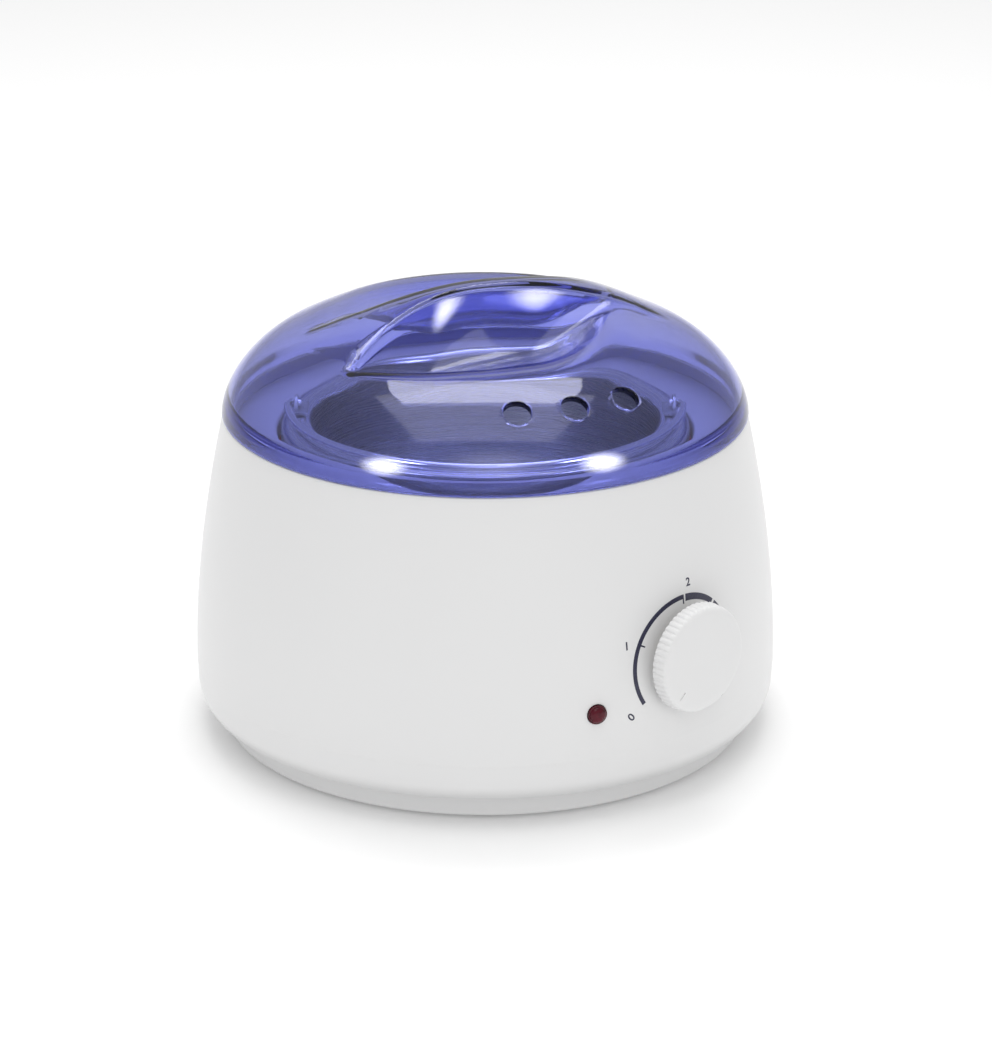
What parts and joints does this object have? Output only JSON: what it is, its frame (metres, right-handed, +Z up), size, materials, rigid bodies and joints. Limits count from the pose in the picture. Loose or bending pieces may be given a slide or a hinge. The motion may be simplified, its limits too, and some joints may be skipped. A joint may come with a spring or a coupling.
{
  "type": "wax warmer pot",
  "caption": "Round table-top wax warmer with a lift-out metal pot, a clear domed lid with finger scoops and a front dial.",
  "frame": {"origin": "on the table surface, under the middle of the round base", "axes": "+Z up along the middle axis of the housing, -Y towards the front, +X to the right seen from the front"},
  "size_m": [0.185, 0.185, 0.1447],
  "materials": {
    "white_housing": "glossy white moulded ABS",
    "blue_lid": "clear violet-blue moulded plastic",
    "aluminium": "spun aluminium",
    "steel": "zinc-plated steel",
    "chrome_wire": "bright plated wire",
    "brass": "bare brass",
    "rubber": "matte moulded rubber",
    "silicone": "matte silicone",
    "mica": "layered mica sheet",
    "ceramic": "unglazed steatite",
    "nylon": "moulded nylon",
    "red_lens": "clear red moulded plastic",
    "lamp_glass": "clear glass capsule",
    "brown_wire": "silicone wire sleeve",
    "blue_wire": "silicone wire sleeve",
    "green_wire": "silicone wire sleeve"
  },
  "bodies": {
    "housing": {"base_plate": "white_housing", "base_screw_1": "steel", "base_screw_2": "steel", "base_screw_3": "steel", "base_screw_4": "steel", "bimetal_strip": "brass", "body_shell": "white_housing", "contact_spring": "brass", "cord_gland": "rubber", "earth_lead": "green_wire", "earth_stud": "steel", "earth_tag": "brass", "foot_front_left": "rubber", "foot_front_right": "rubber", "foot_rear_left": "rubber", "foot_rear_right": "rubber", "fuse_clip": "steel", "fuse_lead": "brown_wire", "heater_band": "mica", "heater_lead_live": "brown_wire", "heater_lead_neutral": "blue_wire", "heater_strap": "steel", "heater_terminal_live": "brass", "heater_terminal_neutral": "brass", "heating_well": "aluminium", "indicator_lens": "red_lens", "lamp_lead_live": "brown_wire", "lamp_lead_neutral": "blue_wire", "lens_clip": "steel", "neon_lamp": "lamp_glass", "strap_nut": "steel", "strap_screw": "steel", "terminal_block": "nylon", "terminal_screw_1": "brass", "terminal_screw_2": "brass", "terminal_screw_3": "brass", "thermal_fuse": "ceramic", "thermostat_bush": "brass", "thermostat_frame": "steel", "thermostat_lead": "brown_wire", "thermostat_nut": "brass", "thermostat_stack": "ceramic", "well_gasket": "silicone", "well_screw_1": "steel", "well_screw_2": "steel", "well_screw_3": "steel", "well_screw_4": "steel"},
    "dial": {"control_knob": "white_housing", "thermostat_shaft": "steel"},
    "pot": {"wax_pot": "aluminium", "pot_ear_left": "steel", "pot_ear_right": "steel"},
    "bail": {"pot_bail": "chrome_wire"},
    "lid_body": {"lid": "blue_lid"}
  },
  "joints": [
    {"name": "pot_lift", "type": "slide", "parent": "housing", "child": "pot", "axis": [0, 0, 1], "range_m": [0, 0.09]},
    {"name": "lid_lift", "type": "slide", "parent": "pot", "child": "lid_body", "axis": [0, 0, 1], "range_m": [0, 0.08]},
    {"name": "bail_swing", "type": "hinge", "parent": "pot", "child": "bail", "pos_m": [0, 0, 0.1048], "axis": [-1, 0, 0], "range_deg": [0, 90]},
    {"name": "dial_turn", "type": "hinge", "parent": "housing", "child": "dial", "pos_m": [0.06043, -0.0683, 0.0486], "axis": [-0.6626, 0.749, 0], "range_deg": [0, 270]}
  ],
  "couplings": [
    {"joint": "bail_swing", "follows": "lid_lift", "rad_per_m": 19.6}
  ]
}
